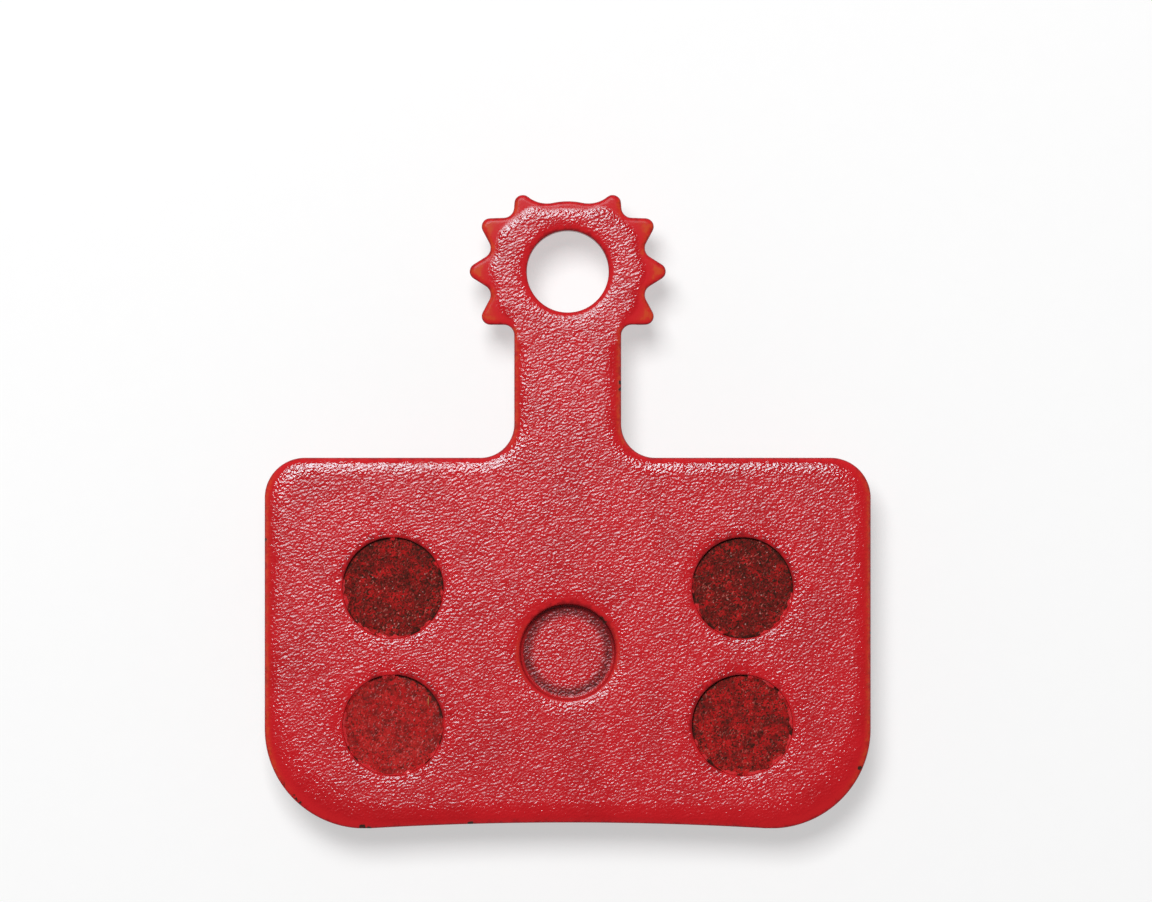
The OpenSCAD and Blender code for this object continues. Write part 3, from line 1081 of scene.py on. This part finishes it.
def coat_colour(p, grain, chip, thin, tan, shade):
    """Red with a painted sheen where smooth, yellower along the side edges, darker with starved paint and
    painted shading, and bare where chipped.
    """
    colour = p.mix(p.ramp(p.noise(0.35, 3.0, 0.6), 0.35, 0.7), RED, DEEP_RED)
    # Painted sheen: a pinker red on the smooth paint, standing in for its gloss
    colour = p.mix(grain, SHEEN_RED, colour)
    # Yellower along edges facing left and right, on the side teeth and beside the dimple
    orange_share = p.plus(p.noise(4.5, 3.0, 0.65), p.times(tan, 0.4))
    orange_share = p.times(tan, p.ramp(orange_share, 0.70, 0.90, 0.3, 1.0))
    colour = p.mix(orange_share, colour, SIDE_EDGE_ORANGE)
    distance, shuffle = p.cells(1.3)
    specks = p.times(p.ramp(distance, 0.02, 0.035, 1.0, 0.0), p.ramp(shuffle, 0.95, 0.96))
    colour = p.mix(specks, colour, SPECK_RED)
    # Starved paint with painted shading in the dimple
    starved = p.ramp(p.noise(9.0, 2.0, 0.6), 0.40, 0.60, 1.0, 0.65)
    colour = p.mix(p.times(thin, starved), colour, STARVED_AND_SHADE_RED)
    # Painted shading
    colour = p.mix(p.times(shade, 0.7), colour, PAINTED_SHADE_RED)
    return p.mix(p.ramp(chip, 0.35, 0.6), colour, BARE_STEEL)


def powder_coat():
    """Red powder coat with a fine orange peel."""
    p = Paint("powder_coat")
    grain, chip, thin, tan, shade, floor, rim = p.values(
        "grain", "chip", "thin", "tan", "shade", "floor", "rim")
    peel = p.noise(6.8, 0.0, 0.45, p.stretched((1.15, 0.88, 1), 22), warp=0.1)
    peel = p.times(peel, p.mix_value(floor, 0.028, 0.032))
    fine = p.times(p.noise(14.0, 0.0, 0.5), p.mix_value(floor, 0.0085, 0.013))
    relief = p.times(p.plus(peel, fine), p.plus(p.times(grain, 0.94), 0.06))
    p.set("Normal", p.bump(relief))
    p.set("Base Color", coat_colour(p, grain, chip, thin, tan, shade))

    rough = p.ramp(p.noise(1.6, 2.0, 0.5), 0.3, 0.7, 0.215, 0.265)
    rough = p.mix_value(grain, 0.22, p.minus(rough, p.times(rim, 0.10)))
    rough = p.plus(rough, p.times(chip, 0.3))
    rough = p.plus(rough, p.times(floor, 0.01))
    p.set("Roughness", p.math("ADD", rough, p.times(thin, 0.02), clamp=True))
    p.set("Specular IOR Level", p.mix_value(thin, p.mix_value(grain, 0.08, 0.50), 0.30))
    p.set("Specular Tint", p.mix(thin, GLOSS_TINT, STARVED_TINT))
    return p.material


def bare_compound(p, ground):
    """Colour of brown resin with dark grains, steel and brass, then its shares of brass and scratches."""
    colour = p.mix(p.ramp(p.noise(1.4, 4.0, 0.65), 0.35, 0.65), DARK_RESIN, PALE_RESIN)
    _, grit = p.cells(5.0)
    colour = p.mix(p.ramp(grit, 0.90, 0.93), colour, STEEL_GRIT)
    colour = p.mix(p.ramp(p.noise(3.2, 3.0, 0.6), 0.60, 0.68), colour, GRAPHITE)
    scratch = p.noise(1.0, 3.0, 0.6, p.stretched((2.8, 0.17, 1), SCRATCH_TURN))
    scored = p.times(ground, p.ramp(scratch, 0.5, 0.72, 0.0, 0.35))
    colour = p.mix(scored, colour, SCORED)
    furrow = p.noise(0.9, 3.0, 0.65, p.stretched((2.2, 0.4, 1), SCRATCH_TURN))
    furrow = p.times(ground, p.ramp(furrow, 0.54, 0.66, 0.0, 0.8))
    colour = p.mix(furrow, colour, FURROW)
    distance, shuffle = p.cells(1.1, p.stretched((1.7, 0.45, 1), 20))
    brass = p.times(p.ramp(shuffle, 0.86, 0.88), p.ramp(distance, 0.16, 0.24, 1.0, 0.0))
    return p.mix(brass, colour, BRASS_GRAIN), brass, scratch


def sprayed_compound(p, plug, glossy):
    """Colour of compound under paint: patchy, with pores, dark grains and pale fibres."""
    patches = p.plus(p.noise(1.5, 4.0, 0.7), p.times(plug, 0.26))
    colour = p.mix(p.ramp(patches, 0.60, 0.84), THIN_SPRAY, THICK_SPRAY)
    # Painted sheen: pinker patches on the glossy plug
    painted_sheen = p.times(glossy, p.ramp(p.noise(1.1, 4.0, 0.7), 0.42, 0.66, 0.0, 0.5))
    colour = p.mix(painted_sheen, colour, SHEEN_MIST)
    grains = p.ramp(p.noise(2.6, 4.0, 0.65), 0.56, 0.66, 0.0, 0.75)
    grains = p.times(grains, p.ramp(plug, 0.85, 1.0, 1.0, 0.35))
    colour = p.mix(grains, colour, DARK_GRAIN)
    pores = p.minus(p.noise(9.5, 2.0, 0.7), p.times(plug, 0.065))
    pore_colour = p.mix(glossy, DARK_PORE, PAINTED_PORE)
    colour = p.mix(p.ramp(pores, 0.42, 0.58), colour, pore_colour)
    fibres = p.noise(9.0, 2.0, 0.6, p.stretched((1.6, 0.7, 1), 50))
    cluster = p.ramp(p.noise(0.9, 2.0, 0.6), 0.46, 0.60, 0.45, 1.0)
    flecks = p.times(cluster, p.ramp(fibres, 0.58, 0.70, 0.0, 0.75))
    return p.mix(flecks, colour, p.mix(glossy, FLECK, PALE_FLECK))


def friction_compound():
    """Pressed compound, with red paint where it was sprayed along with the plate."""
    p = Paint("friction_compound")
    paint, ground, crack, plug, shred, bridge = p.values(
        "paint", "ground", "crack", "plug", "brass", "bridge")
    colour, brass, scratch = bare_compound(p, ground)
    cover = p.ramp(p.plus(p.noise(2.4, 4.0, 0.7), p.times(paint, 0.6)), 0.62, 0.85)
    glossy = p.ramp(plug, 0.95, 1.0)
    colour = p.mix(cover, colour, sprayed_compound(p, plug, glossy))
    # The seam colour: open seam, pores and painted shading
    colour = p.mix(p.ramp(p.ragged(crack, 5.0, 1.6), 0.3, 0.75, 0.0, 0.9), colour, SEAM_AND_SHADE)
    bridged = p.ramp(p.ragged(bridge, 4.0, 1.2), 0.40, 0.55)
    colour = p.mix(bridged, colour, RED)
    distance, shuffle = p.cells(5.0)
    glint = p.times(p.ramp(distance, 0.10, 0.24, 1.0, 0.0), p.ramp(shuffle, 0.74, 0.80))
    glint = p.times(glint, p.ramp(plug, 0.7, 0.9, 0.65, 0.3))
    colour = p.mix(glint, colour, GLINT)
    p.set("Base Color", p.mix(shred, colour, BRASS_SHRED))

    bare_brass = p.times(p.times(brass, 0.8), p.minus(1.0, cover))
    p.set("Metallic", p.math("MAXIMUM", bare_brass, p.times(shred, 0.25)))
    rough = p.ramp(p.noise(5.0, 2.0, 0.6), 0.35, 0.7, 0.35, 0.75)
    dusty = p.mix_value(glossy, 0.8, 0.6)
    p.set("Roughness", p.mix_value(bridged, p.mix_value(cover, rough, dusty), 0.25))
    p.set("Specular IOR Level", p.mix_value(bridged, p.mix_value(cover, 0.5, 0.05), 0.5))
    bare = p.times(p.noise(4.0, 4.0, 0.65), 0.05)
    painted = p.times(p.noise(9.0, 3.0, 0.65), 0.022)
    bridge_peel = p.times(p.noise(6.8, 0.0, 0.45), 0.026)
    relief = p.mix_value(bridged, p.mix_value(cover, bare, painted), bridge_peel)
    p.set("Normal", p.bump(p.plus(relief, p.times(p.times(scratch, ground), 0.03))))
    return p.material


def floor_paint():
    """Matte white sheet under the pad."""
    p = Paint("pale_floor")
    p.set("Base Color", p.mix(p.noise(0.8, 3.0, 0.6), (0.90,)*3, (0.93,)*3))
    p.set("Roughness", 0.9)
    p.set("Specular IOR Level", 0.1)
    ray = p.add("ShaderNodeLightPath").outputs
    seen = p.plus(p.plus(ray["Is Camera Ray"], ray["Is Glossy Ray"]), ray["Is Transmission Ray"])
    seen = p.math("MULTIPLY", seen, FLOOR_WHITENING, clamp=True)
    blend = p.add("ShaderNodeMixShader")
    p.put(blend.inputs[0], seen)
    p.put(blend.inputs[1], p.shader.outputs[0])
    p.put(blend.inputs[2], p.add("ShaderNodeEmission").outputs[0])
    p.put(p.tree.nodes["Material Output"].inputs["Surface"], blend.outputs[0])
    return p.material


def dress(piece, material, node):
    piece.data.materials.append(material)
    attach(piece, "root")
    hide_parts(node)


def make_floor():
    reach = 2.0
    mesh = bpy.data.meshes.new("floor")
    corners = [(-reach, -reach, 0), (reach, -reach, 0), (reach, reach, 0), (-reach, reach, 0)]
    mesh.from_pydata(corners, [], [(0, 1, 2, 3)])
    mesh.materials.append(floor_paint())
    new_object("floor", mesh)


def make_softbox(name, azimuth, off_zenith, distance, side, level):
    """A square soft lamp, in a direction from the pad. At level 1 it is as bright as white paper."""
    data = bpy.data.lights.new(name, "AREA")
    data.shape = "RECTANGLE"
    data.size, data.size_y = side, side
    data.energy = level*math.pi*side*side
    lamp = new_object(name, data)
    turn, tilt = math.radians(azimuth), math.radians(off_zenith)
    across = math.sin(tilt)
    centre = Vector(PAD_MIDDLE)
    way = Vector((across*math.cos(turn), across*math.sin(turn), math.cos(tilt)))
    lamp.location = centre + distance*way
    lamp.rotation_mode = "QUATERNION"
    lamp.rotation_quaternion = (centre - lamp.location).to_track_quat("-Z", "Y")


def make_world():
    """A studio's surroundings: pale walls, and a darker ceiling."""
    world = bpy.data.worlds.new("studio")
    world.use_nodes = True
    tree = world.node_tree
    way = tree.nodes.new("ShaderNodeTexCoord")
    parts = tree.nodes.new("ShaderNodeSeparateXYZ")
    tree.links.new(way.outputs["Generated"], parts.inputs[0])
    level = tree.nodes.new("ShaderNodeMapRange")
    level.interpolation_type = "SMOOTHSTEP"
    tree.links.new(parts.outputs["Z"], level.inputs["Value"])
    for name, number in (("From Min", 0.05), ("From Max", 0.6), ("To Min", 0.95), ("To Max", 0.07)):
        level.inputs[name].default_value = number
    tree.links.new(level.outputs[0], tree.nodes["Background"].inputs["Strength"])
    tree.nodes["Background"].inputs["Color"].default_value = (1, 1, 1, 1)
    bpy.context.scene.world = world


def make_camera():
    """Straight above the pad, framed as the photograph is."""
    data = bpy.data.cameras.new("camera")
    data.lens, data.sensor_width = LENS, SENSOR_W
    data.clip_start, data.clip_end = 0.01, 10
    camera = new_object("camera", data)
    camera.location = (VIEW_X*MM, VIEW_Y*MM, (FACE_Z + VIEW_W*LENS/SENSOR_W)*MM)
    bpy.context.scene.camera = camera


dress(build_plate(), powder_coat(), "backing_plate")
dress(build_lining(), friction_compound(), "friction_lining")
make_floor()
make_softbox("key", azimuth=110, off_zenith=23, distance=0.34, side=0.13, level=21.5)
make_world()
make_camera()
bpy.context.scene.view_settings.view_transform = "Standard"
